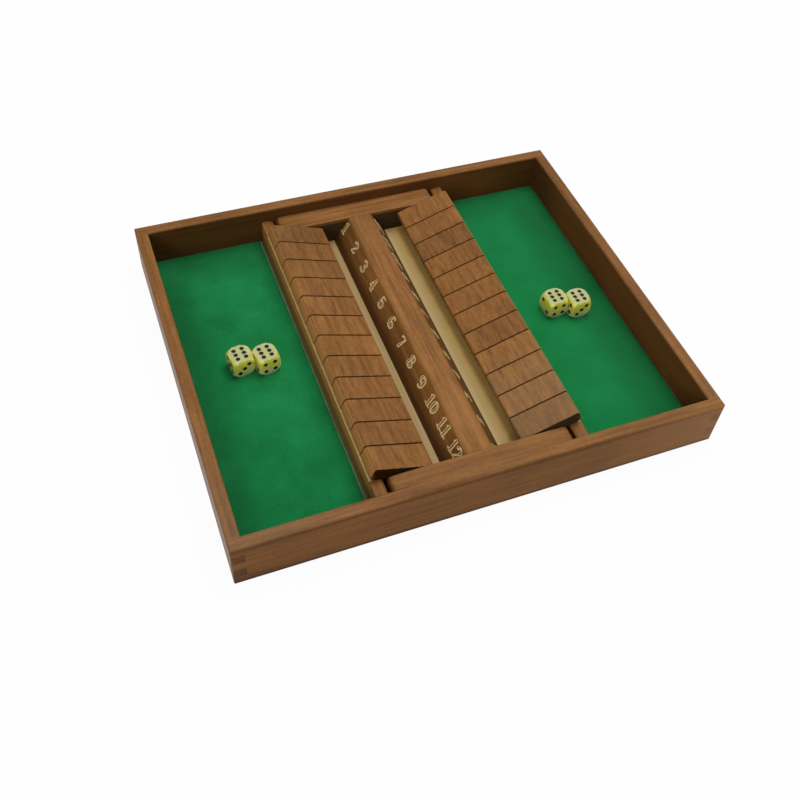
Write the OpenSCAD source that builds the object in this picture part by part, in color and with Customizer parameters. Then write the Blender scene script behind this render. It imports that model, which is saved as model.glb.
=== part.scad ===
/* [Box] */
// Outside width of the box, left to right
box_w = 350; // [310:1:400]
// Outside depth of the box, front to back; the tiles get wider with it
box_d = 298; // [260:1:330]
// Height of the four walls
box_h = 40; // [39:1:46]
// Thickness of the wall boards
wall_t = 9; // [7:0.5:12]
// Fingers up each corner joint, counting both boards
finger_count = 5; // [3:2:9]
// Radius of the sanded top and corner edges
edge_r = 1.5; // [0.5:0.25:2.5]
// Radius of the sanded outside edge at the bottom
foot_r = 0.8; // [0.4:0.2:1.6]

/* [Floor] */
// Height of the base panel's underside above the table
panel_z = 5; // [3:0.5:7]
// Thickness of the base panel
panel_t = 4; // [3:0.5:6]
// Depth of the groove that holds the panel in each wall
groove_depth = 4; // [2:0.5:6]
// Thickness of the felt
felt_t = 1.2; // [0.8:0.1:2]
// Bare margin between the felt and the walls
felt_margin = 0.6; // [0.3:0.1:3]
// Bare margin between the felt and a rail
felt_rail_margin = 1.8; // [0.3:0.1:4]

/* [Centre section] */
// Distance from the middle of the box to a rail's inner face
rail_x = 68.5; // [66:0.5:74]
// Thickness of a rail
rail_t = 9; // [8:0.5:12]
// Height of a rail above the panel
rail_h = 19.2; // [16:0.2:22]
// Width of the sloping seat along a rail's inner edge
seat_w = 3.5; // [2:0.25:5]
// Depth of the blocks that hold the rods, from the long boards to the tiles
block_d = 17.15; // [14:0.05:24]
// Gap between a block's end and the rail beside it
block_end_gap = 2.5; // [0.5:0.5:10]
// Height of the blocks and of the number ridge above the panel
block_h = 21; // [19:0.5:24]
// Radius at the top of a block's two ends
block_end_r = 4; // [2:0.5:6]
// Width of the number ridge at its foot
ridge_foot_w = 44; // [38:1:48]
// Width of the number ridge at its top, before its shoulders are rounded
ridge_top_w = 18; // [14:1:22]
// Radius of the number ridge's shoulders
shoulder_r = 3; // [1:0.5:5]

/* [Tiles] */
// Gap between neighbouring tiles
tile_gap = 0.9; // [0.5:0.1:1.2]
// Thickness of a tile
tile_t = 10.8; // [8:0.2:12]
// Length of a tile from the rod's centre to its outer end
tile_reach = 39.8; // [36:0.2:40]
// Radius of the tile's two outer edges
tile_end_r = 2.5; // [2:0.25:4]
// Length of a tile behind the rod's centre
tile_heel = 5; // [4:0.25:7]
// Radius of the tile's two heel edges
heel_r = 2; // [1:0.25:3]
// Gap left between a tile and what it rests on
rest_gap = 0.05; // [0.02:0.01:0.2]

/* [Rods] */
// Distance from the middle of the box to a rod's centre
rod_x = 38; // [36:0.5:42]
// Height of a rod's centre above the panel
rod_h = 13.2; // [11:0.2:15]
// Diameter of a rod
rod_d = 3; // [2:0.25:4]
// Radial clearance of a rod in the tiles
tile_bore_gap = 0.06; // [0.02:0.01:0.1]
// Radial clearance of a rod in the blocks
block_bore_gap = 0.02; // [0.01:0.01:0.05]
// Depth of the blind hole in each block
rod_grip = 10; // [6:0.5:12]
// Free space past each end of a rod in its hole
rod_end_gap = 0.3; // [0.1:0.1:1]

/* [Dice] */
// Edge length of a die
die_s = 16; // [12:0.5:18]
// Radius along a die's edges
die_edge_r = 2; // [1:0.25:3]
// Radius of the ball that rounds a die's corners
die_ball_r = 11.6; // [11.4:0.1:13]
// Distance from the middle of a face to a pip's row
pip_step = 3.6; // [2.5:0.1:4.2]
// Radius of a pip where it meets the face
pip_r = 1.4; // [0.8:0.05:1.6]
// Depth of a pip
pip_depth = 0.45; // [0.2:0.05:0.8]

/* [Hidden] */
$fn = 48;

// Tiles on each rod, as many as the list of nodes names
tile_count = 12;

wall_colour = "#8a5a36";
inner_colour = "#7c4d2e";
tile_colour = "#91623c";
panel_colour = "#b79c6b";
felt_colour = "#1a6b3c";
rod_colour = "#b9bcc0";
die_colour = "#d9cf96";

// The room inside the walls, and the heights that everything stands on
room_w = box_w - 2 * wall_t;
room_d = box_d - 2 * wall_t;
floor_z = panel_z + panel_t;
felt_z = floor_z + felt_t;
finger_h = box_h / finger_count;

// The bank of tiles runs from block to block with one gap at each end
bank_d = room_d - 2 * block_d;
tile_pitch = (bank_d - tile_gap) / tile_count;
tile_w = tile_pitch - tile_gap;
block_l = 2 * (rail_x - block_end_gap);

// The rods, and the tiles' slope when they rest on the seat of a rail
rod_z = floor_z + rod_h;
rail_top = floor_z + rail_h;
seat_dx = rail_x + seat_w - rod_x;
seat_dz = rail_top - rod_z;
rest_drop = tile_t / 2 + rest_gap;
rest_angle = atan2(seat_dz, seat_dx) + asin(rest_drop / norm([seat_dx, seat_dz]));

// The number ridge is a trapezium with round shoulders
ridge_top = floor_z + block_h;
slope_dx = (ridge_foot_w - ridge_top_w) / 2;
slope_len = norm([slope_dx, block_h]);
shoulder_z = block_h - shoulder_r;
shoulder_x = ridge_foot_w / 2 - (slope_dx * shoulder_z + shoulder_r * slope_len) / block_h;

// Where the dice lie, off the middle of each field: centre and turn
field_x = (rail_x + rail_t + room_w / 2) / 2;
left_die_a_place = [-field_x - 6.55, 11.8, 8.5];
left_die_b_place = [-field_x + 11.05, 8.1, 10.5];
right_die_a_place = [field_x - 5.75, -5.3, 3.5];
right_die_b_place = [field_x + 11.45, -10.7, 2];

// A pip is a dimple of this ball, whose centre lies outside the face
pip_ball_r = (pip_r * pip_r + pip_depth * pip_depth) / (2 * pip_depth);

// The six has its columns closer together and its rows further apart
six_column = 0.86;
six_row = 1.14;

// Pips of the faces 1 to 6 as steps across and up the face
PIPS = [
    [[0, 0]],
    [[-1, 1], [1, -1]],
    [[-1, -1], [0, 0], [1, 1]],
    [[-1, -1], [-1, 1], [1, -1], [1, 1]],
    [[-1, -1], [-1, 1], [0, 0], [1, -1], [1, 1]],
    [[-six_column, -six_row], [-six_column, 0], [-six_column, six_row],
     [six_column, -six_row], [six_column, 0], [six_column, six_row]]
];

// A box given by its corner points
module span(a, b) {
    translate(a)
        cube(b - a);
}

// What a round-over takes off an edge along the Z axis at the origin,
// with the wood on the side of -X and -Y
module edge_waste(r, l) {
    translate([0, 0, -l / 2])
        linear_extrude(l)
            difference() {
                translate([-r, -r])
                    square(r + 1);
                translate([-r, -r])
                    circle(r);
            }
}

// The same for an edge along the X axis, with the wood on the side of -Y and -Z
module long_edge(l, r) {
    rotate([0, 90, 0])
        rotate([0, 0, 90])
            edge_waste(r, l);
}

// An inside top corner, where the sanding of two boards meets in a mitre
module inner_mitre(r) {
    intersection() {
        long_edge(4 * r, r);
        rotate([0, 0, -90])
            long_edge(4 * r, r);
    }
}

// The sanding of the whole frame: outside edges, inside top edges and corners
module frame_sanding() {
    for (side = [0, 180])
        rotate([0, 0, side]) {
            translate([0, box_d / 2, box_h])
                long_edge(box_w + 2, edge_r);
            translate([box_w / 2, 0, box_h])
                rotate([0, 0, -90])
                    long_edge(box_d + 2, edge_r);
            translate([0, box_d / 2, 0])
                mirror([0, 0, 1])
                    long_edge(box_w + 2, foot_r);
            translate([box_w / 2, 0, 0])
                rotate([0, 0, -90])
                    mirror([0, 0, 1])
                        long_edge(box_d + 2, foot_r);
            translate([0, -room_d / 2, box_h])
                long_edge(room_w, edge_r);
            translate([-room_w / 2, 0, box_h])
                rotate([0, 0, -90])
                    long_edge(room_d, edge_r);
            for (sx = [0, 1])
                mirror([sx, 0, 0])
                    translate([-room_w / 2, -room_d / 2, box_h])
                        inner_mitre(edge_r);
            translate([box_w / 2, box_d / 2, box_h / 2])
                edge_waste(edge_r, box_h + 2);
            translate([-box_w / 2, box_d / 2, box_h / 2])
                rotate([0, 0, 90])
                    edge_waste(edge_r, box_h + 2);
        }
}

// The panel reaches into the walls on every side
module panel_blank() {
    span([-room_w / 2 - groove_depth, -room_d / 2 - groove_depth, panel_z],
         [room_w / 2 + groove_depth, room_d / 2 + groove_depth, floor_z]);
}

// The fingers of the side boards, which the front and back boards leave free
module side_fingers() {
    for (level = [1 : 2 : finger_count - 1], sx = [-1, 1], sy = [-1, 1])
        translate([sx * (box_w - wall_t) / 2, sy * (box_d - wall_t) / 2, (level + 0.5) * finger_h])
            cube([wall_t, wall_t, finger_h], center = true);
}

// Front or back board: the full width, less the side boards' fingers
module long_board(sy) {
    color(wall_colour)
        difference() {
            translate([0, sy * (box_d - wall_t) / 2, box_h / 2])
                cube([box_w, wall_t, box_h], center = true);
            side_fingers();
            panel_blank();
            frame_sanding();
        }
}

// Side board: between the long boards, with its own fingers at both ends
module side_board(sx) {
    color(wall_colour)
        difference() {
            union() {
                translate([sx * (box_w - wall_t) / 2, 0, box_h / 2])
                    cube([wall_t, room_d, box_h], center = true);
                intersection() {
                    side_fingers();
                    translate([sx * box_w / 2, 0, box_h / 2])
                        cube([2 * wall_t, box_d, box_h], center = true);
                }
            }
            panel_blank();
            frame_sanding();
        }
}

module base_panel() {
    color(panel_colour)
        panel_blank();
}

// Felt of one playing field, from the outer wall to the margin by the rail
module felt(sx) {
    near_x = rail_x + rail_t + felt_rail_margin;
    far_x = room_w / 2 - felt_margin;
    color(felt_colour)
        translate([sx * (near_x + far_x) / 2, 0, floor_z + felt_t / 2])
            cube([far_x - near_x, room_d - 2 * felt_margin, felt_t], center = true);
}

// A profile drawn in X and Z, made into a bar that lies along Y
module bar(l) {
    rotate([90, 0, 0])
        translate([0, 0, -l / 2])
            linear_extrude(l)
                children();
}

// Rail: a board on edge whose inner top edge is planed to the tiles' slope
module rail(sx) {
    seat_low = rail_top - seat_w * tan(rest_angle);
    color(inner_colour)
        bar(room_d)
            polygon([
                [sx * rail_x, floor_z],
                [sx * (rail_x + rail_t), floor_z],
                [sx * (rail_x + rail_t), rail_top],
                [sx * (rail_x + seat_w), rail_top],
                [sx * rail_x, seat_low]
            ]);
}

// The bores for both rods, as cylinders along the whole box
module rod_bores(gap, l) {
    for (sx = [-1, 1])
        translate([sx * rod_x, 0, rod_z])
            rotate([90, 0, 0])
                cylinder(d = rod_d + 2 * gap, h = l, center = true);
}

// Block between a long board and the tiles, with a blind hole for each rod
module rod_block(sy) {
    mid_y = (bank_d + block_d) / 2;
    color(inner_colour)
        difference() {
            translate([0, sy * mid_y, 0])
                bar(block_d) {
                    translate([-block_l / 2, floor_z])
                        square([block_l, block_h - block_end_r]);
                    translate([-block_l / 2 + block_end_r, floor_z])
                        square([block_l - 2 * block_end_r, block_h]);
                    for (sx = [-1, 1])
                        translate([sx * (block_l / 2 - block_end_r), ridge_top - block_end_r])
                            circle(block_end_r);
                }
            rod_bores(block_bore_gap, bank_d + 2 * rod_grip);
        }
}

// Number ridge: its two slopes carry the numbers, its top stops the tiles
module number_ridge() {
    tangent_dx = shoulder_r * block_h / slope_len;
    tangent_dz = shoulder_r * slope_dx / slope_len;
    color(inner_colour)
        translate([0, 0, floor_z])
            bar(bank_d) {
                polygon([
                    [-ridge_foot_w / 2, 0],
                    [ridge_foot_w / 2, 0],
                    [shoulder_x + tangent_dx, shoulder_z + tangent_dz],
                    [shoulder_x, shoulder_z],
                    [shoulder_x, block_h],
                    [-shoulder_x, block_h],
                    [-shoulder_x, shoulder_z],
                    [-shoulder_x - tangent_dx, shoulder_z + tangent_dz]
                ]);
                for (sx = [-1, 1])
                    translate([sx * shoulder_x, shoulder_z])
                        circle(shoulder_r);
            }
}

// Steel rod through one bank of tiles, held at both ends by the blocks
module rod(sx) {
    rod_l = bank_d + 2 * (rod_grip - rod_end_gap);
    color(rod_colour)
        translate([sx * rod_x, 0, rod_z])
            rotate([90, 0, 0])
                cylinder(d = rod_d, h = rod_l, center = true);
}

// Side view of a tile, with the rod's centre at the origin
module tile_profile() {
    difference() {
        union() {
            translate([heel_r - tile_heel, -tile_t / 2])
                square([tile_reach - tile_end_r + tile_heel - heel_r, tile_t]);
            translate([-tile_heel, heel_r - tile_t / 2])
                square([2 * heel_r, tile_t - 2 * heel_r]);
            translate([tile_reach - 2 * tile_end_r, tile_end_r - tile_t / 2])
                square([2 * tile_end_r, tile_t - 2 * tile_end_r]);
            for (sz = [-1, 1]) {
                translate([heel_r - tile_heel, sz * (tile_t / 2 - heel_r)])
                    circle(heel_r);
                translate([tile_reach - tile_end_r, sz * (tile_t / 2 - tile_end_r)])
                    circle(tile_end_r);
            }
        }
        circle(d = rod_d + 2 * tile_bore_gap);
    }
}

// Tile number n, counted from the back on the left bank and
// from the front on the right bank, as each player reads it
module tile(sx, n) {
    place = (tile_count + 1) / 2 - n;
    color(tile_colour)
        rotate([0, 0, sx < 0 ? 0 : 180])
            translate([-rod_x, place * tile_pitch, rod_z])
                mirror([1, 0, 0])
                    bar(tile_w)
                        rotate(rest_angle)
                            tile_profile();
}

// A square with round corners, as plain squares and circles
module round_square(s, r) {
    square([s, s - 2 * r], center = true);
    square([s - 2 * r, s], center = true);
    for (sx = [-1, 1], sy = [-1, 1])
        translate([sx * (s / 2 - r), sy * (s / 2 - r)])
            circle(r);
}

// The pips of one face, which looks along +Z before it is turned
module pips(n) {
    for (p = PIPS[n - 1])
        translate([p[0] * pip_step, p[1] * pip_step, die_s / 2 - pip_depth + pip_ball_r])
            sphere(pip_ball_r, $fn = 32);
}

// A die with its six on top and its three or four to the front;
// opposite faces add up to seven
module die(place, front) {
    turn = front == 3 ? 0 : 180;
    color(die_colour)
        translate([place[0], place[1], felt_z + die_s / 2])
            rotate([0, 0, place[2] + turn])
                difference() {
                    intersection() {
                        for (k = [[0, 0, 0], [90, 0, 0], [0, 90, 0]])
                            rotate(k)
                                linear_extrude(die_s, center = true)
                                    round_square(die_s, die_edge_r);
                        sphere(die_ball_r, $fn = 64);
                    }
                    pips(6);
                    rotate([180, 0, 0])
                        pips(1);
                    rotate([90, 0, 0])
                        pips(3);
                    rotate([90, 0, 180])
                        pips(4);
                    rotate([90, 0, 90])
                        pips(2);
                    rotate([90, 0, -90])
                        pips(5);
                }
}

long_board(-1);  // front_wall
long_board(1);  // back_wall
side_board(-1);  // left_wall
side_board(1);  // right_wall
base_panel();
felt(-1);  // left_felt
felt(1);  // right_felt
rail(-1);  // left_rail
rail(1);  // right_rail
rod_block(-1);  // front_rod_block
rod_block(1);  // back_rod_block
number_ridge();
rod(-1);  // left_rod
rod(1);  // right_rod
tile(-1, 1);  // left_tile_01
tile(-1, 2);  // left_tile_02
tile(-1, 3);  // left_tile_03
tile(-1, 4);  // left_tile_04
tile(-1, 5);  // left_tile_05
tile(-1, 6);  // left_tile_06
tile(-1, 7);  // left_tile_07
tile(-1, 8);  // left_tile_08
tile(-1, 9);  // left_tile_09
tile(-1, 10);  // left_tile_10
tile(-1, 11);  // left_tile_11
tile(-1, 12);  // left_tile_12
tile(1, 1);  // right_tile_01
tile(1, 2);  // right_tile_02
tile(1, 3);  // right_tile_03
tile(1, 4);  // right_tile_04
tile(1, 5);  // right_tile_05
tile(1, 6);  // right_tile_06
tile(1, 7);  // right_tile_07
tile(1, 8);  // right_tile_08
tile(1, 9);  // right_tile_09
tile(1, 10);  // right_tile_10
tile(1, 11);  // right_tile_11
tile(1, 12);  // right_tile_12
die(left_die_a_place, 3);  // left_die_a
die(left_die_b_place, 4);  // left_die_b
die(right_die_a_place, 4);  // right_die_a
die(right_die_b_place, 3);  // right_die_b
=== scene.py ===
"""Looks of the wooden shut the box game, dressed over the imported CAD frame."""
import math
import random

import bmesh
import bpy
import numpy as np
from mathutils import Matrix, Vector


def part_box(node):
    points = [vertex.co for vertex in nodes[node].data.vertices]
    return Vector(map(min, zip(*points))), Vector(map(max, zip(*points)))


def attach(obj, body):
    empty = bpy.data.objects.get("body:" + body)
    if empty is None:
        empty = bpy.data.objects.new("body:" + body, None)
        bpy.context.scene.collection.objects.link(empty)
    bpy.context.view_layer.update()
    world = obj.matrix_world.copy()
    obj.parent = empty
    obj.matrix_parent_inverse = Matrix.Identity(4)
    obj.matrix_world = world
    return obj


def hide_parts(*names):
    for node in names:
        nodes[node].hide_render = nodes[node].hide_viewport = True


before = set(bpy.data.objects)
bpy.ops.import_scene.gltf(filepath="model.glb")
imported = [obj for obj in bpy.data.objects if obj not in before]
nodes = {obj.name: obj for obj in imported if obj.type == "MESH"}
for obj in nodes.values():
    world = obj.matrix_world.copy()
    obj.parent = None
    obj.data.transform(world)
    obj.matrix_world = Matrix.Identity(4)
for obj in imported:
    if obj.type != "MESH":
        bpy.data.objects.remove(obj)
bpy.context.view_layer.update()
MM = 0.001

# Sizes of the CAD model that the looks lean on, in millimetres
BOX_X, BOX_Y, BOX_Z = 175.0, 149.0, 40.0
INSIDE_X, INSIDE_Y = 166.0, 140.0
FLOOR_Z = 9.0
FELT_T = 1.2
FELT_Z = FLOOR_Z + FELT_T
SEAT_X = 72.0
RAIL_X = 77.5
RAIL_TOP = 28.2
BLOCK_FACE_Y = 122.85
BLOCK_TOP = 30.0
RIDGE_FOOT_X = 22.0
RIDGE_TOP_X = 9.0
RIDGE_TOP = 30.0
DIE_S = 16.0
DIE_X = 122.0
PIP_STEP = 3.6
PIP_R = 1.4
PIP_DEPTH = 0.45


# ---------------------------------------------------------------- camera
# Pinhole camera solved from the box's corners in the photograph
FOCAL_PX = 972.79
CENTRE_PX = (426.9, 364.2)
EYE = Vector((-204.21, -446.68, 557.60)) * MM
CAM_RIGHT = Vector((0.928536, -0.364801, 0.068855))
CAM_DOWN = Vector((-0.237174, -0.725604, -0.645946))
CAM_AHEAD = Vector((0.285603, 0.583454, -0.760271))
FRAME_PX = 800
SENSOR = 36.0


def shown(name, data):
    """A new object in the scene."""
    obj = bpy.data.objects.new(name, data)
    bpy.context.scene.collection.objects.link(obj)
    return obj


def make_camera():
    data = bpy.data.cameras.new("photo_camera")
    data.sensor_width = SENSOR
    data.lens = FOCAL_PX / FRAME_PX * SENSOR
    data.shift_x = (FRAME_PX / 2 - CENTRE_PX[0]) / FRAME_PX
    data.shift_y = (CENTRE_PX[1] - FRAME_PX / 2) / FRAME_PX
    data.clip_start = 0.01
    data.clip_end = 50
    cam = shown("photo_camera", data)
    turn = Matrix((CAM_RIGHT, -CAM_DOWN, -CAM_AHEAD)).transposed()
    cam.matrix_world = Matrix.Translation(EYE) @ turn.to_4x4()
    bpy.context.scene.camera = cam


# ---------------------------------------------------------------- shader help
class Graph:
    """One material and its nodes."""

    def __init__(self, name):
        self.mat = bpy.data.materials.new(name)
        self.mat.use_nodes = True
        self.tree = self.mat.node_tree
        self.bsdf = self.tree.nodes["Principled BSDF"]
        self.out = self.tree.nodes["Material Output"]

    def put(self, socket, value):
        if isinstance(value, bpy.types.NodeSocket):
            self.tree.links.new(value, socket)
        else:
            socket.default_value = value

    def add(self, kind, inputs=(), **props):
        node = self.tree.nodes.new("ShaderNode" + kind)
        for key, value in props.items():
            setattr(node, key, value)
        for key, value in dict(inputs).items():
            self.put(node.inputs[key], value)
        return node

    def surface(self, **sockets):
        for key, value in sockets.items():
            self.put(self.bsdf.inputs[key.replace("_", " ")], value)

    def place(self):
        """The point on the object in metres."""
        return self.add("TexCoord").outputs["Object"]

    def axes(self, vector):
        return self.add("SeparateXYZ", {0: vector}).outputs

    def millimetres(self, place):
        """The point's x, y and z in millimetres."""
        return self.axes(self.scaled(place, (1000, 1000, 1000)))

    def facing(self, axis):
        """How far the surface faces along an axis, either way."""
        normal = self.add("TexCoord").outputs["Normal"]
        return self.math("ABSOLUTE", self.axes(normal)["XYZ".index(axis)])

    def math(self, how, a, b=0.0, c=0.0):
        return self.add("Math", {0: a, 1: b, 2: c}, operation=how).outputs[0]

    def times(self, first, *rest):
        for value in rest:
            first = self.math("MULTIPLY", first, value)
        return first

    def most(self, first, *rest):
        for value in rest:
            first = self.math("MAXIMUM", first, value)
        return first

    def weighted(self, *parts):
        """The sum of (value, weight) pairs."""
        total = 0.0
        for value, weight in parts:
            total = self.math("MULTIPLY_ADD", value, weight, total)
        return total

    def scaled(self, vector, factors, shift=(0, 0, 0)):
        node = self.add("VectorMath", {0: vector, 1: factors, 2: shift},
                        operation="MULTIPLY_ADD")
        return node.outputs[0]

    def noise(self, vector, scale, detail=3.0, rough=0.5, bend=0.0):
        node = self.add("TexNoise", {"Vector": vector, "Scale": scale, "Detail": detail,
                                     "Roughness": rough, "Distortion": bend})
        return node.outputs[0]

    def ramp(self, fac, stops):
        node = self.add("ValToRGB", {0: fac})
        items = node.color_ramp.elements
        while len(items) < len(stops):
            items.new(0.5)
        for item, (at, colour) in zip(items, stops):
            item.position = at
            item.color = (*colour, 1)
        return node.outputs[0]

    def level(self, value, low, high, to_low=0.0, to_high=1.0, smooth=False):
        """Rises (or falls) from to_low at low to to_high at high, and stays there beyond."""
        node = self.add("MapRange", {0: value, 1: low, 2: high, 3: to_low, 4: to_high})
        if smooth:
            node.interpolation_type = "SMOOTHSTEP"
        return node.outputs[0]

    def mix(self, fac, a, b, blend="MIX"):
        node = self.add("Mix", data_type="RGBA", blend_type=blend)
        self.put(node.inputs[0], fac)
        for socket, value in ((node.inputs[6], a), (node.inputs[7], b)):
            self.put(socket, value if isinstance(value, bpy.types.NodeSocket) else (*value, 1))
        return node.outputs[2]

    def bump(self, height, strength, distance):
        node = self.add("Bump", {"Height": height, "Strength": strength, "Distance": distance})
        return node.outputs[0]


def srgb(r, g, b):
    """A colour read as 0 to 255 display values, as linear numbers."""
    def one(v):
        v /= 255
        return v / 12.92 if v <= 0.04045 else ((v + 0.055) / 1.055) ** 2.4
    return (one(r), one(g), one(b))


def toned(colour, k):
    return tuple(min(1.0, c * k) for c in colour)


# ---------------------------------------------------------------- materials
# Noise scales are per metre; stains and painted shade are placed in millimetres
LONG_RUN, SHORT_RUN = 0.035, 0.12
GRAIN_Y = (1, LONG_RUN, 1)
SATIN = (0.45, 0.59)
SHEEN, DULL, SAWN = 0.13, 0.065, 0.03
DARK_WOOD = srgb(105, 67, 31)
MID_WOOD = srgb(134, 89, 44)
PALE_WOOD = srgb(153, 105, 56)


def wood(name, axis, seed, tone=1.0, ends=0.6, spare=None, run=LONG_RUN):
    """Stained and satin-varnished board whose grain runs along one axis; a larger run
    shortens its flecks. spare adds the stains, wear and painted light and shade of that one kind
    of piece."""
    rng = random.Random(seed)
    shift = tuple(rng.uniform(-3, 3) for _ in range(3))
    g = Graph(name)
    place = g.place()
    grain = g.scaled(place, tuple(run if a == axis else 1 for a in "XYZ"), shift)
    plain = g.scaled(place, (1, 1, 1), shift)
    streak = g.noise(grain, 300.0, 4.0, 0.6, 0.35)
    fine = g.noise(grain, 1100.0, 3.0, 0.65)
    pores = g.level(g.noise(grain, 2100.0, 2.0), 0.6, 0.72)
    colour = g.ramp(g.weighted((streak, 0.62), (fine, 0.38)),
                    [(0.35, toned(DARK_WOOD, tone)), (0.5, toned(MID_WOOD, tone)),
                     (0.65, toned(PALE_WOOD, tone))])
    colour = g.mix(g.times(pores, 0.34), colour, toned(DARK_WOOD, 0.6 * tone))
    wave = g.level(g.noise(plain, 22.0, 2.0), 0.3, 0.7, 0.89, 1.11)
    mottle = g.level(g.noise(plain, 330.0, 2.0, 0.6), 0.3, 0.7, -0.09, 0.09)
    shade = g.math("ADD", wave, mottle)
    grey = g.add("CombineColor", {0: shade, 1: shade, 2: shade}).outputs[0]
    colour = g.mix(1.0, colour, grey, "MULTIPLY")
    # the sawn ends drink more stain; on the two nearest tiles the ends setting makes them nearly
    # black as painted shade
    sawn = g.level(g.facing(axis), 0.4, 0.8, 0.0, ends)
    colour = g.mix(sawn, colour, toned(DARK_WOOD, 0.24 * tone))
    rough, shine = g.level(fine, 0.3, 0.7, *SATIN), SHEEN
    if spare:
        colour, rough, shine = spare(g, place, colour, rough)
    g.surface(Base_Color=colour, Roughness=rough, Specular_IOR_Level=shine,
              Normal=g.bump(g.weighted((fine, 0.6), (pores, -1.0)), 0.16, 0.00012))
    return g.mat


def board_stain(g, place, colour, rough):
    """A board of the box: painted shade inside and painted light and shade outside, and its outer
    face a little deeper than its top.
    """
    x, y, z = g.millimetres(place)
    across, along = g.math("ABSOLUTE", x), g.math("ABSOLUTE", y)
    side = g.level(across, BOX_X - 0.8, BOX_X - 0.2)
    front = g.level(along, BOX_Y - 0.8, BOX_Y - 0.2)
    outer = g.most(side, front)
    colour = g.mix(g.times(outer, 0.25), colour, srgb(120, 76, 32))
    # painted shade on the outer faces: darker along the foot, most of it at the left, and a darker
    # band under the rounded top edge
    foot = g.level(z, 4.6, 1.4, 0.0, 0.8, True)
    left_foot_shade = g.times(g.level(x, -100, -172), g.level(z, 12, 2, 0.0, 0.6))
    run = g.times(g.level(z, BOX_Z - 5.0, BOX_Z - 2.8, 0.0, 0.48, True),
                  g.level(z, BOX_Z - 0.8, BOX_Z - 1.5))
    colour = g.mix(g.times(outer, g.most(foot, left_foot_shade, run)), colour, srgb(64, 34, 12))
    # painted light: lighter at the near right corner and low on the right; painted shade: greyer,
    # darker tops at the near left
    corner = g.times(g.level(x, 70, 172), g.level(y, 20, -140))
    corner_light = g.times(corner, g.math("MULTIPLY_ADD", outer, 0.22, 0.08))
    low = g.times(g.level(x, -70, 10, 0.0, 0.08), g.level(z, 16, 9))
    colour = g.mix(g.math("MULTIPLY_ADD", outer, low, corner_light), colour, srgb(200, 150, 98))
    corner = g.times(g.level(x, -60, -160), g.level(y, -50, -140, 0.0, 0.26))
    colour = g.mix(g.times(corner, g.level(z, BOX_Z - 1.5, BOX_Z - 0.5)), colour,
                   srgb(112, 100, 86))
    # painted shade: the inner faces are darker, more so below the top edge; painted light lifts
    # the right wall's inner face except at its far end, and the back wall's inner face behind the
    # right felt
    inner_shade = g.times(g.level(across, INSIDE_X + 0.8, INSIDE_X),
                    g.level(along, INSIDE_Y + 0.8, INSIDE_Y),
                    g.level(z, BOX_Z - 0.3, BOX_Z - 2.5, 0.0, 0.68, True))
    right_wall_lit = g.times(g.level(x, 160, 165), g.level(y, 112, 85))
    back_wall_lit = g.times(g.level(y, 135, INSIDE_Y), g.level(x, 65, 80), g.level(x, 145, 115))
    inner_shade_colour = g.mix(g.most(right_wall_lit, back_wall_lit), toned(DARK_WOOD, 0.45), srgb(112, 62, 29))
    # the side boards are rubbed a little smoother, the front and the back board are duller
    rough = g.math("MULTIPLY_ADD", side, -0.08, rough)
    return g.mix(inner_shade, colour, inner_shade_colour), rough, g.level(front, 0.0, 1.0, SHEEN, DULL)


def block_stain(g, place, colour, rough):
    """A rod block, whose face to the tiles is painted nearly black as painted shade down in the
    channels.
    """
    y, z = g.millimetres(place)[1:]
    face_shade = g.times(g.level(g.math("ABSOLUTE", y), BLOCK_FACE_Y + 0.75, BLOCK_FACE_Y + 0.15),
                 g.level(z, BLOCK_TOP - 1.5, BLOCK_TOP - 3.5, 0.0, 0.88, True))
    return g.mix(face_shade, colour, srgb(52, 44, 32)), rough, SHEEN


def rail_stain(g, place, colour, rough):
    """A rail: its planed top got no stain, and its face to the felt is painted lighter near its
    top edge and darker olive lower down, as painted light and shade.
    """
    x, y, z = g.millimetres(place)
    across, along = g.math("ABSOLUTE", x), g.math("ABSOLUTE", y)
    # painted light and shade on the face to the felt: lighter near its top edge, darker olive
    # towards the felt
    face = g.times(g.level(across, RAIL_X - 0.5, RAIL_X - 0.1),
                   g.level(z, RAIL_TOP - 0.6, RAIL_TOP - 1.6), 0.8)
    high = g.level(z, 12.0, 23.5, 0.0, 1.0, True)
    colour = g.mix(face, colour, g.mix(high, srgb(124, 104, 48), srgb(216, 138, 80)))
    top = g.times(g.level(across, SEAT_X - 0.2, SEAT_X + 0.3),
                  g.level(along, 122.2, 120.5), g.level(z, RAIL_TOP - 0.5, RAIL_TOP - 0.2))
    bare = g.ramp(g.noise(g.scaled(place, GRAIN_Y), 420.0, 3.0, 0.6),
                  [(0.3, srgb(222, 176, 108)), (0.7, srgb(238, 198, 130))])
    # the bare top is rubbed and dusty beside the tips of the tiles
    bare = g.mix(g.level(across, 75.3, 74.4, 0.0, 0.7), bare, srgb(150, 110, 66))
    return g.mix(top, colour, bare), g.most(rough, g.times(top, 0.6)), SHEEN


def tile_wear(g, place, colour, rough):
    """A tile: fingers and sanding thinned the stain at its tip, its outer end face is lighter as
    painted light, and its sawn sides are dull.
    """
    x, y, z = g.millimetres(place)
    across = g.math("ABSOLUTE", x)
    # painted reflection: a grey sheen on the near tiles of the right bank
    grey = g.times(g.level(y, -40, -85, 0.0, 0.2), g.level(x, 10, 20))
    colour = g.mix(grey, colour, srgb(142, 126, 96))
    colour = g.mix(g.level(across, 73, 76, 0.0, 0.4, True), colour, srgb(172, 128, 74))
    # painted light: the outer end face is lighter, more so towards its top
    end = g.times(g.level(across, 70, 72), g.level(g.facing("X"), 0.5, 0.9, 0.0, 0.72, True),
                  g.level(z, 31, 35, 0.35, 1.0))
    return (g.mix(end, colour, srgb(208, 144, 82)), rough,
            g.level(g.facing("Y"), 0.4, 0.8, SHEEN, SAWN))


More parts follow.
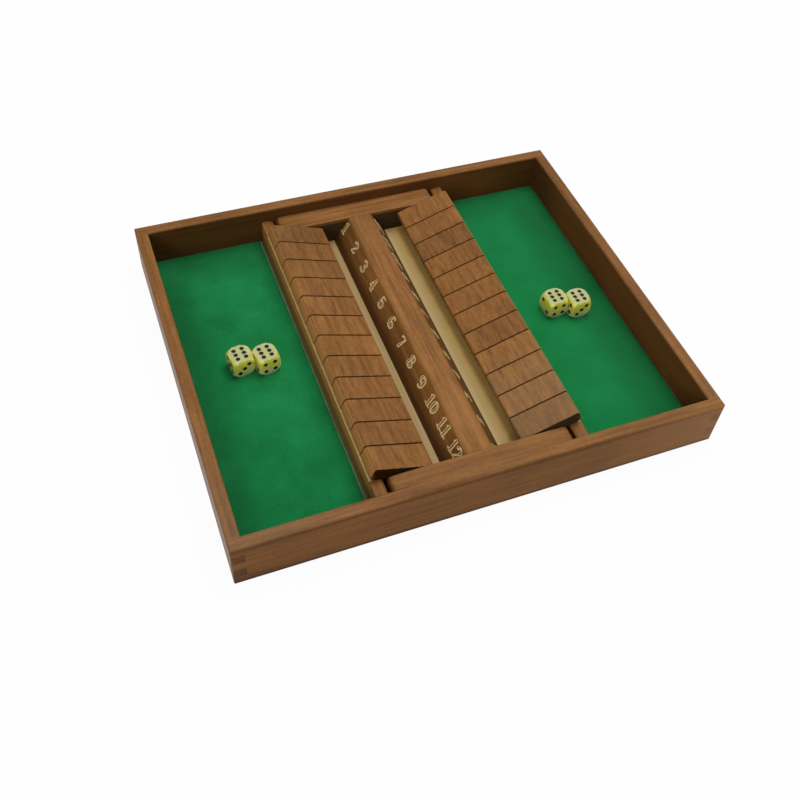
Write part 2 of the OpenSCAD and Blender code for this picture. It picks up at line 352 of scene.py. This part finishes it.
def ridge_stain(g, place, colour, rough):
    """The number ridge: painted shade on the slopes, darkest at the foot, and painted light and
    shade along it.
    """
    x, y, z = g.millimetres(place)
    # painted shade towards the back wall, and painted light on a band near the front
    colour = g.mix(g.level(y, 80, 118, 0.0, 0.3), colour, toned(DARK_WOOD, 0.55))
    light = g.times(g.level(y, -58, -80), g.level(y, -110, -95, 0.0, 0.35))
    colour = g.mix(light, colour, toned(PALE_WOOD, 1.2))
    # painted shade on both slopes, heavier on the right
    edge = (RIDGE_TOP_X - 0.2, RIDGE_TOP_X + 1.2)
    slope = g.level(z, RIDGE_TOP - 0.8, RIDGE_TOP - 2.5)
    colour = g.mix(g.times(g.level(x, *edge), slope, 0.75), colour, toned(DARK_WOOD, 0.35))
    left = g.times(g.level(x, -edge[0], -edge[1]), slope, 0.16)
    colour = g.mix(left, colour, toned(DARK_WOOD, 0.3))
    # painted shade deepening towards the foot of the slopes
    foot_shade = g.level(z, 21.5, 11.5, 0.0, 0.66, True)
    return g.mix(foot_shade, colour, toned(DARK_WOOD, 0.22)), rough, SHEEN


def bare_wood():
    g = Graph("bare_panel")
    place = g.place()
    grain = g.scaled(place, GRAIN_Y)
    streak = g.noise(grain, 190.0, 4.0, 0.6, 0.3)
    fine = g.noise(grain, 1300.0, 3.0, 0.6)
    colour = g.ramp(g.weighted((streak, 0.6), (fine, 0.4)),
                    [(0.3, srgb(142, 113, 64)), (0.5, srgb(162, 132, 80)),
                     (0.72, srgb(178, 149, 95))])
    x = g.millimetres(place)[0]
    across = g.math("ABSOLUTE", x)
    # painted shade, patchy, under the heels of the left tiles, on the left channel only
    heel_shade = g.times(g.level(across, 29, 36, 0.0, 0.7, True),
                    g.level(g.noise(place, 70.0), 0.35, 0.6, 0.55, 1.0),
                    g.level(x, -5, 5, 1.0, 0.0))
    colour = g.mix(heel_shade, colour, srgb(120, 84, 46))
    # painted light: the right channel is lightened up to and under the tiles, where their shade
    # falls
    colour = g.mix(g.level(x, 20.5, 21.5, 0.0, 0.5), colour, srgb(206, 176, 112))
    colour = g.mix(g.level(x, 25.5, 32.5, 0.0, 0.95, True), colour, srgb(244, 202, 116))
    # glue and shade in the narrow joint between a felt and its rail
    joint = g.level(across, RAIL_X - 1.0, RAIL_X, 0.0, 0.96)
    g.surface(Base_Color=g.mix(joint, colour, srgb(88, 78, 32)),
              Roughness=g.level(fine, 0.3, 0.7, 0.52, 0.68),
              Normal=g.bump(fine, 0.2, 0.0001))
    return g.mat


def felt_material():
    g = Graph("green_felt")
    place = g.place()
    cloud = g.noise(place, 38.0, 3.0, 0.55)
    tuft = g.noise(place, 900.0, 3.0, 0.7)
    hair = g.noise(g.scaled(place, (1, 0.3, 1)), 3800.0, 2.0, 0.6, 1.2)
    colour = g.ramp(g.weighted((cloud, 0.35), (tuft, 0.35), (hair, 0.3)),
                    [(0.33, srgb(6, 92, 45)), (0.5, srgb(16, 120, 62)),
                     (0.69, srgb(30, 142, 79))])
    # the right cloth lies a little fresher in colour
    x, y = g.millimetres(place)[:2]
    colour = g.mix(g.level(x, -10, 10, 0.0, 0.35), colour, srgb(20, 134, 70))
    # painted shade: darker along the outer walls and the back wall
    wall_shade = g.most(g.level(x, -142, -160, 0.0, 0.45, True), g.level(x, 117, 151, 0.0, 0.55, True),
                 g.level(y, 98, 132, 0.0, 0.5, True))
    colour = g.mix(wall_shade, colour, srgb(10, 74, 34))
    # the cut edge beside the rail is fuzzy and a little bleached
    fuzz = g.times(g.level(g.math("ABSOLUTE", x), 80.6, 79.9),
                   g.level(tuft, 0.3, 0.6, 0.35, 0.85))
    g.surface(Base_Color=g.mix(fuzz, colour, srgb(190, 204, 160)), Roughness=0.95,
              Specular_IOR_Level=0.15, Sheen_Weight=0.12, Sheen_Roughness=0.55,
              Sheen_Tint=(0.35, 0.9, 0.5, 1),
              Normal=g.bump(g.weighted((tuft, 0.5), (hair, 0.5)), 0.55, 0.0004))
    return g.mat


def steel_material():
    g = Graph("drawn_steel")
    lines = g.noise(g.scaled(g.place(), (1, 0.02, 1)), 5200.0, 3.0, 0.6)
    spots = g.noise(g.place(), 420.0, 4.0, 0.6)
    g.surface(Base_Color=g.ramp(spots, [(0.3, (0.42, 0.42, 0.43)), (0.7, (0.62, 0.62, 0.63))]),
              Metallic=1.0, Roughness=g.level(lines, 0.3, 0.7, 0.22, 0.42),
              Normal=g.bump(lines, 0.1, 0.00005))
    return g.mat


def die_material():
    """Ivory plastic whose colour changes with height on the die as painted light: yellower on the
    sides than on the top face and at the foot.
    """
    g = Graph("ivory_plastic")
    place = g.place()
    cloud = g.noise(place, 180.0, 3.0, 0.55)
    grit = g.noise(place, 2600.0, 2.0, 0.5)
    height = g.level(g.millimetres(place)[2], FELT_Z, FELT_Z + DIE_S)
    # painted light: paler at the foot, yellower on the sides, greyer and darker on the top face
    foot = g.ramp(cloud, [(0.3, srgb(240, 232, 160)), (0.7, srgb(250, 242, 176))])
    side = g.ramp(cloud, [(0.3, srgb(246, 228, 92)), (0.7, srgb(252, 238, 112))])
    top = g.ramp(cloud, [(0.3, srgb(196, 196, 120)), (0.7, srgb(208, 208, 134))])
    colour = g.mix(g.level(height, 0.1, 0.6, 0, 1, True), foot, side)
    g.surface(Base_Color=g.mix(g.level(height, 0.9, 1.0, 0, 1, True), colour, top),
              Roughness=g.level(grit, 0.3, 0.7, 0.16, 0.26),
              Subsurface_Weight=0.9, Subsurface_Radius=(0.016, 0.014, 0.005),
              Subsurface_Scale=1.0, Normal=g.bump(grit, 0.05, 0.00005))
    return g.mat


def pip_material():
    g = Graph("black_pip_paint")
    grit = g.noise(g.place(), 2600.0, 3.0, 0.6)
    black = [(0.3, (0.003, 0.003, 0.003)), (0.7, (0.008, 0.008, 0.007))]
    g.surface(Base_Color=g.ramp(grit, black), Roughness=g.level(grit, 0.3, 0.7, 0.55, 0.7),
              Specular_IOR_Level=0.2, Normal=g.bump(grit, 0.1, 0.00005))
    return g.mat


def gold_material():
    g = Graph("gold_foil")
    worn = g.noise(g.place(), 700.0, 4.0, 0.65)
    fine = g.noise(g.place(), 3000.0, 2.0, 0.5)
    gold = [(0.34, srgb(212, 178, 114)), (0.5, srgb(238, 210, 150)), (0.7, srgb(250, 230, 180))]
    g.surface(Base_Color=g.ramp(worn, gold), Metallic=0.08,
              Roughness=g.level(fine, 0.3, 0.7, 0.36, 0.5), Normal=g.bump(fine, 0.12, 0.00005))
    return g.mat


# ---------------------------------------------------------------- mesh help
WELD_GAP = 2e-6
FLAT_WITHIN = math.radians(0.4)
SHARP_OVER = math.radians(40)


def new_piece(name, bm, material, body, smooth=True):
    """Turns a bmesh into a piece that rides on a CAD body."""
    mesh = bpy.data.meshes.new(name)
    bm.to_mesh(mesh)
    bm.free()
    for face in mesh.polygons:
        face.use_smooth = smooth
    mesh.materials.append(material)
    obj = shown(name, mesh)
    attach(obj, body)
    return obj


def dress(name, material, bevel=0.0):
    """Gives a CAD node its material and, where asked, a fine rounded arris."""
    obj = nodes[name]
    for slot in obj.material_slots:
        slot.material = material
    if bevel:
        obj.modifiers.new("weld", "WELD").merge_threshold = WELD_GAP
        flat = obj.modifiers.new("flat", "DECIMATE")
        flat.decimate_type = "DISSOLVE"
        flat.angle_limit = FLAT_WITHIN
        arris = obj.modifiers.new("arris", "BEVEL")
        arris.width = bevel * MM
        arris.segments = 2
        arris.limit_method = "ANGLE"
        arris.angle_limit = SHARP_OVER
        arris.use_clamp_overlap = False
        obj.modifiers.new("normals", "WEIGHTED_NORMAL")


# ---------------------------------------------------------------- felts
FELT_GRID = (40, 128)
EDGE_ROLL, EDGE_DROP = 0.8, 0.35
LEVEL_R = 30.0
GLUE_GAP = 0.02


def wobble(t, seed, size):
    """A slow, repeatable waver along a cut edge."""
    rng = random.Random(seed)
    total = 0.0
    for k in (1.3, 2.9, 5.3, 9.1):
        total += math.sin(t * k * 6.283 / 100 + rng.uniform(0, 6.283)) / (k ** 0.5)
    return size * total / 2.2


def make_felt(side, material):
    """A cloth with wavy cut edges that sags a little, but stays level under the dice."""
    sx = -1 if side == "left" else 1
    lo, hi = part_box(side + "_felt")
    x0, x1 = sorted((abs(lo.x) / MM, abs(hi.x) / MM))
    y1 = hi.y / MM
    nx, ny = FELT_GRID
    rng = random.Random("felt" + side)
    phases = [rng.uniform(0, 6.28) for _ in range(4)]
    bm = bmesh.new()
    top, low = [], []
    for i in range(nx + 1):
        for j in range(ny + 1):
            u, v = i / nx, j / ny
            y = -y1 + 2 * y1 * v
            left = x0 + wobble(y, side + "a", 0.35) + 0.15
            right = x1 + wobble(y, side + "b", 0.4) - 0.1
            x = left + (right - left) * u
            ends = y1 + wobble(x, side + "c", 0.3) - 0.1
            y = -ends + 2 * ends * v
            edge = min(x - left, right - x, ends - abs(y))
            dip = 0.06 * (1 + math.sin(x * 0.11 + phases[0]) * math.sin(y * 0.07 + phases[1]))
            dip += 0.03 * (1 + math.sin(x * 0.31 + phases[2]) * math.sin(y * 0.23 + phases[3]))
            off_dice = 1 - math.exp(-((abs(x) - DIE_X) ** 2 + y ** 2) / LEVEL_R ** 2)
            z = FELT_Z - dip * off_dice
            z -= EDGE_DROP * max(0.0, 1 - edge / EDGE_ROLL) ** 2
            top.append(bm.verts.new((sx * x * MM, y * MM, z * MM)))
            low.append(bm.verts.new((sx * x * MM, y * MM, (FLOOR_Z + GLUE_GAP) * MM)))

    def at(rows, i, j):
        return rows[i * (ny + 1) + j]

    for i in range(nx):
        for j in range(ny):
            quad = [(i, j), (i + 1, j), (i + 1, j + 1), (i, j + 1)]
            if sx < 0:
                quad.reverse()
            bm.faces.new([at(top, *p) for p in quad])
            bm.faces.new([at(low, *p) for p in reversed(quad)])
    rim = [(i, 0) for i in range(nx)] + [(nx, j) for j in range(ny)]
    rim += [(i, ny) for i in range(nx, 0, -1)] + [(0, j) for j in range(ny, 0, -1)]
    for a, b in zip(rim, rim[1:] + rim[:1]):
        quad = [at(low, *a), at(low, *b), at(top, *b), at(top, *a)]
        bm.faces.new(quad if sx > 0 else quad[::-1])
    obj = new_piece(side + "_felt_cloth", bm, material, "box")
    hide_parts(side + "_felt")


# ---------------------------------------------------------------- numerals
# Digits are drawn in a cell one unit high, as strokes of (x, y, half width) points
THICK, THIN = 0.128, 0.064
BALL_R = 0.055
LINE_W = 0.075
FIELD_STEP = 0.014
ADVANCE = 0.6
SHADE = (0.024, -0.014)
# On the ridge, in millimetres
NUMERAL_H = 10.0
NUMERAL_W = 11.8
NUMERAL_Z = 22.8
NUMERAL_Y = (119.2, 95.4, 73.2, 52.0, 32.0, 10.2, -10.6, -30.5, -51.2, -71.6, -93.0, -113.0)
NUMERAL_LIFT = 0.1
FOIL_T, FOIL_OUT = 0.05, 0.07


def arc(cx, cy, rx, ry, start, end, steps=26):
    """A curved stroke, heavy where it runs upright and fine where it lies."""
    out = []
    for i in range(steps + 1):
        a = math.radians(start + (end - start) * i / steps)
        out.append((cx + rx * math.cos(a), cy + ry * math.sin(a),
                    THIN + (THICK - THIN) * abs(math.cos(a)) ** 1.4))
    return out


def bar(x0, y0, x1, y1, w0, w1=None):
    return [(x0, y0, w0), (x1, y1, w0 if w1 is None else w1)]


def ball(x, y):
    return [(x, y, BALL_R), (x, y + 0.001, BALL_R)]


SIX = [arc(0.02, 0.44, 0.24, 0.51, 62, 190), arc(0, 0.29, 0.21, 0.25, 0, 360), ball(0.14, 0.87)]
STROKES = {
    "0": [arc(0, 0.5, 0.21, 0.45, 0, 360)],
    "1": [bar(0, 0.96, 0, 0.04, THICK), bar(-0.23, 0.05, 0.23, 0.05, THIN),
          bar(0, 0.94, -0.17, 0.82, THIN)],
    "2": [arc(-0.01, 0.73, 0.2, 0.23, 160, -35), bar(0.15, 0.6, -0.2, 0.08, 0.07, THIN),
          bar(-0.2, 0.07, 0.2, 0.07, 0.05), bar(0.2, 0.07, 0.23, 0.22, THIN), ball(-0.18, 0.8)],
    "3": [arc(-0.02, 0.75, 0.18, 0.21, 150, -85), arc(-0.02, 0.28, 0.22, 0.25, 88, -150),
          ball(-0.16, 0.84), ball(-0.2, 0.17)],
    "4": [bar(0.08, 0.95, -0.24, 0.3, THIN), bar(-0.24, 0.28, 0.25, 0.28, THIN),
          bar(0.09, 0.96, 0.09, 0.04, THICK), bar(-0.05, 0.04, 0.23, 0.04, THIN)],
    "5": [bar(-0.14, 0.92, 0.2, 0.92, 0.06), bar(-0.15, 0.92, -0.18, 0.53, THIN),
          arc(-0.01, 0.32, 0.21, 0.28, 142, -150), ball(-0.19, 0.18)],
    "6": SIX,
    "7": [bar(-0.2, 0.93, 0.21, 0.93, 0.055), bar(-0.21, 0.93, -0.21, 0.8, THIN),
          bar(0.21, 0.93, -0.05, 0.04, THIN, THICK)],
    "8": [arc(0, 0.74, 0.16, 0.21, 0, 360), arc(0, 0.28, 0.21, 0.25, 0, 360)],
    "9": [[(-x, 1 - y, w) for x, y, w in s] for s in SIX],
}


def distance_field(strokes, xs, ys):
    """Signed distance to the strokes, negative inside."""
    gx, gy = np.meshgrid(xs, ys, indexing="ij")
    best = np.full(gx.shape, 9.0)
    for stroke in strokes:
        for (ax, ay, ar), (bx, by, br) in zip(stroke, stroke[1:]):
            dx, dy = bx - ax, by - ay
            t = np.clip(((gx - ax) * dx + (gy - ay) * dy) / (dx * dx + dy * dy), 0, 1)
            d = np.hypot(gx - ax - t * dx, gy - ay - t * dy) - (ar + t * (br - ar))
            best = np.minimum(best, d)
    return best


def clipped(poly, which, level, sign):
    """The part of a polygon of points where sign * (point[which] - level) is not negative."""
    out = []
    for a, b in zip(poly, poly[1:] + poly[:1]):
        da, db = sign * (a[which] - level), sign * (b[which] - level)
        if da >= 0:
            out.append(a)
        if (da >= 0) != (db >= 0):
            t = da / (da - db)
            out.append(tuple(p + t * (q - p) for p, q in zip(a, b)))
    return out


def digit_polygons(digit):
    """An open-face digit: a gold outline, heavier on the right, with its fine strokes solid."""
    xs, ys = np.arange(-0.36, 0.36, FIELD_STEP), np.arange(-0.05, 1.06, FIELD_STEP)
    field = distance_field(STROKES[digit], xs, ys)
    hollow = distance_field(STROKES[digit], xs + SHADE[0], ys + SHADE[1])
    polys = []
    for i in range(len(xs) - 1):
        for j in range(len(ys) - 1):
            corners = [(xs[a], ys[b], field[a, b], hollow[a, b])
                       for a, b in ((i, j), (i + 1, j), (i + 1, j + 1), (i, j + 1))]
            if min(c[2] for c in corners) > 0 or max(c[3] for c in corners) < -LINE_W:
                continue
            for tri in (corners[:3], [corners[0], corners[2], corners[3]]):
                poly = clipped(tri, 2, 0.0, -1)
                poly = clipped(poly, 3, -LINE_W, 1) if len(poly) > 2 else []
                if len(poly) > 2:
                    polys.append([(float(p[0]), float(p[1])) for p in poly])
    return polys


def make_numerals(material):
    """1 to 12 down each slope of the ridge, each row read from its own side."""
    shapes = {d: digit_polygons(d) for d in STROKES}
    foot = Vector((-RIDGE_FOOT_X, 0, FLOOR_Z))
    up = (Vector((-RIDGE_TOP_X, 0, RIDGE_TOP)) - foot).normalized()
    right = Vector((0, -1, 0))
    mid = foot + up * ((NUMERAL_Z - FLOOR_Z) / up.z) + right.cross(up) * FOIL_OUT
    for side, turn in (("left", 0), ("right", math.pi)):
        for n, place_y in enumerate(NUMERAL_Y, 1):
            origin = mid + Vector((0, place_y, 0)) + up * (NUMERAL_LIFT * max(0, n - 5))
            text = str(n)
            bm = bmesh.new()
            known = {}
            for k, digit in enumerate(text):
                dx = (k - (len(text) - 1) / 2) * ADVANCE
                for poly in shapes[digit]:
                    verts = []
                    for x, y in poly:
                        key = (k, round(x, 5), round(y, 5))
                        if key not in known:
                            p = origin + right * ((x + dx) * NUMERAL_W)
                            p += up * ((y - 0.5) * NUMERAL_H)
                            known[key] = bm.verts.new(p * MM)
                        if known[key] not in verts:
                            verts.append(known[key])
                    if len(verts) > 2 and not bm.faces.get(verts):
                        bm.faces.new(verts)
            bmesh.ops.dissolve_limit(bm, angle_limit=0.02, verts=bm.verts, edges=bm.edges)
            bmesh.ops.rotate(bm, cent=(0, 0, 0), matrix=Matrix.Rotation(turn, 3, "Z"),
                             verts=bm.verts)
            obj = new_piece("%s_number_%02d" % (side, n), bm, material, "box", smooth=False)
            foil = obj.modifiers.new("foil", "SOLIDIFY")
            foil.thickness = FOIL_T * MM
            foil.offset = -1


# ---------------------------------------------------------------- dice
# Pips of each face in steps from its centre; then each face's number, tilt and spin
PIPS = [[(0, 0)], [(-1, 1), (1, -1)], [(-1, -1), (0, 0), (1, 1)],
        [(-1, -1), (-1, 1), (1, -1), (1, 1)], [(-1, -1), (-1, 1), (0, 0), (1, -1), (1, 1)],
        [(-0.86, -1.14), (-0.86, 0), (-0.86, 1.14), (0.86, -1.14), (0.86, 0), (0.86, 1.14)]]
FACES = ((6, 0, 0), (1, 180, 0), (3, 90, 0), (4, 90, 180), (2, 90, 90), (5, 90, -90))
DICE = (("left_die_a", 8.5), ("left_die_b", 190.5), ("right_die_a", 183.5), ("right_die_b", 2.0))
PIP_RINGS, PIP_AROUND = 5, 22
PAINT_T = 0.02
PIP_SPILL, SPILL_T = 0.22, 0.012


def about(axis, degrees):
    return Matrix.Rotation(math.radians(degrees), 3, axis)


def make_pips(name, yaw, material):
    """Black paint that lines every dimple of a die and spills a little over its rim."""
    lo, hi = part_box(name)
    centre = (lo + hi) / 2
    ball_r = (PIP_R ** 2 + PIP_DEPTH ** 2) / (2 * PIP_DEPTH)
    above = DIE_S / 2 - PIP_DEPTH + ball_r
    paint_r = ball_r - PAINT_T
    widest = math.acos((above - DIE_S / 2) / paint_r)
    # radius and height over the die's centre of each ring, from the dimple's bottom outwards
    rings = [(paint_r * math.sin(widest * r / PIP_RINGS),
              above - paint_r * math.cos(widest * r / PIP_RINGS)) for r in range(PIP_RINGS + 1)]
    rings.append((PIP_R + PIP_SPILL, DIE_S / 2 + SPILL_T))
    bm = bmesh.new()
    for number, tilt, spin in FACES:
        turn = about("Z", yaw) @ about("Z", spin) @ about("X", tilt)
        for px, py in PIPS[number - 1]:
            rows = []
            for r, (reach, height) in enumerate(rings):
                row = []
                for k in range(PIP_AROUND if r else 1):
                    b = 2 * math.pi * k / PIP_AROUND
                    p = Vector((px * PIP_STEP + reach * math.cos(b),
                                py * PIP_STEP + reach * math.sin(b), height))
                    row.append(bm.verts.new(centre + turn @ p * MM))
                rows.append(row)
            for k in range(PIP_AROUND):
                n = (k + 1) % PIP_AROUND
                bm.faces.new((rows[0][0], rows[1][k], rows[1][n]))
                for inside, outside in zip(rows[1:], rows[2:]):
                    bm.faces.new((inside[k], outside[k], outside[n], inside[n]))
    new_piece(name + "_pips", bm, material, name)


# ---------------------------------------------------------------- light and stage
FLOOR_HALF = 6.0
FLOOR_WHITE = 0.96
SKY = 0.22


def shown_plainly(tree):
    """1 for camera, mirror and glass rays, which see the white background."""
    path = tree.nodes.new("ShaderNodeLightPath")
    total = path.outputs["Is Camera Ray"]
    for name in ("Is Glossy Ray", "Is Transmission Ray"):
        add = tree.nodes.new("ShaderNodeMath")
        add.operation = "MAXIMUM"
        tree.links.new(total, add.inputs[0])
        tree.links.new(path.outputs[name], add.inputs[1])
        total = add.outputs[0]
    return total


def make_stage():
    mesh = bpy.data.meshes.new("studio_floor")
    corners = ((-1, -1), (1, -1), (1, 1), (-1, 1))
    mesh.from_pydata([(x * FLOOR_HALF, y * FLOOR_HALF, 0) for x, y in corners],
                     [], [(0, 1, 2, 3)])
    floor = shown("studio_floor", mesh)
    g = Graph("white_floor")
    white = [(0.3, (0.84, 0.84, 0.84)), (0.7, (0.88, 0.88, 0.88))]
    g.surface(Base_Color=g.ramp(g.noise(g.place(), 3.0), white), Roughness=0.9)
    glow = g.add("Emission", {"Color": (1, 1, 1, 1), "Strength": 1.0})
    both = g.add("MixShader", {0: g.times(shown_plainly(g.tree), FLOOR_WHITE),
                               1: g.bsdf.outputs[0], 2: glow.outputs[0]})
    g.put(g.out.inputs[0], both.outputs[0])
    mesh.materials.append(g.mat)


def lamp(name, place, size, power):
    """A soft round lamp that looks at the object."""
    data = bpy.data.lights.new(name, "AREA")
    data.shape = "DISK"
    data.size = size
    data.energy = power
    obj = shown(name, data)
    obj.location = place
    obj.rotation_mode = "QUATERNION"
    obj.rotation_quaternion = (-Vector(place)).to_track_quat("-Z", "Y")


def make_light():
    world = bpy.data.worlds.new("studio")
    bpy.context.scene.world = world
    world.use_nodes = True
    tree = world.node_tree
    tree.nodes.clear()
    out = tree.nodes.new("ShaderNodeOutputWorld")
    mix = tree.nodes.new("ShaderNodeMixShader")
    tree.links.new(shown_plainly(tree), mix.inputs[0])
    for socket, strength in ((mix.inputs[1], SKY), (mix.inputs[2], 1.0)):
        white = tree.nodes.new("ShaderNodeBackground")
        white.inputs[0].default_value = (1, 1, 1, 1)
        white.inputs[1].default_value = strength
        tree.links.new(white.outputs[0], socket)
    tree.links.new(mix.outputs[0], out.inputs[0])
    lamp("key", (0.38, 0.25, 1.7), 1.3, 23.0)
    lamp("fill", (-1.1, -1.1, 0.9), 0.9, 6.5)


# ---------------------------------------------------------------- build
SIDES = ("left", "right")
TILES = range(1, 13)
RAIL_ARRIS, TILE_ARRIS = 0.35, 0.42
TONE_SPREAD = 0.09
# a few tiles took the stain more or less than the rest; the left tiles at the back are darkened as
# painted shade and right tiles 02 to 04 at the front lightened as painted light
ODD_TONES = {"left_tile_01": 0.86, "left_tile_02": 0.88, "left_tile_03": 0.9, "left_tile_07": 1.12,
             "right_tile_01": 0.93, "right_tile_02": 1.15, "right_tile_03": 1.1,
             "right_tile_04": 1.1, "right_tile_07": 1.12, "right_tile_10": 0.88}
# the sawn sides that show are the nearest tiles' own, painted nearly black as painted shade beside
# their rod blocks
NEAREST = ("left_tile_12", "right_tile_01")
NEAR_ENDS_SHADE, TILE_ENDS = 0.97, 0.3

bpy.context.scene.view_settings.view_transform = "Standard"
make_camera()

for name, axis, tone in (("front_wall", "X", 0.93), ("back_wall", "X", 0.93),
                         ("left_wall", "Y", 0.94), ("right_wall", "Y", 0.81)):
    dress(name, wood(name + "_wood", axis, name, tone, spare=board_stain))
for name in ("left_rail", "right_rail"):
    dress(name, wood(name + "_wood", "Y", name, 0.95, spare=rail_stain), RAIL_ARRIS)
for name in ("front_rod_block", "back_rod_block"):
    dress(name, wood(name + "_wood", "X", name, spare=block_stain), RAIL_ARRIS)
dress("number_ridge", wood("ridge_wood", "Y", "ridge", 1.13, spare=ridge_stain))
for side in SIDES:
    for n in TILES:
        name = "%s_tile_%02d" % (side, n)
        tone = 1 + TONE_SPREAD * (random.Random(name).random() - 0.5)
        tone *= ODD_TONES.get(name, 1.0)
        ends = NEAR_ENDS_SHADE if name in NEAREST else TILE_ENDS
        dress(name, wood(name + "_wood", "Y", name, tone, ends, tile_wear, SHORT_RUN), TILE_ARRIS)
dress("base_panel", bare_wood())
steel, felt = steel_material(), felt_material()
for side in SIDES:
    dress(side + "_rod", steel)
    make_felt(side, felt)
make_numerals(gold_material())
ivory, black = die_material(), pip_material()
for name, yaw in DICE:
    dress(name, ivory)
    make_pips(name, yaw, black)
make_stage()
make_light()
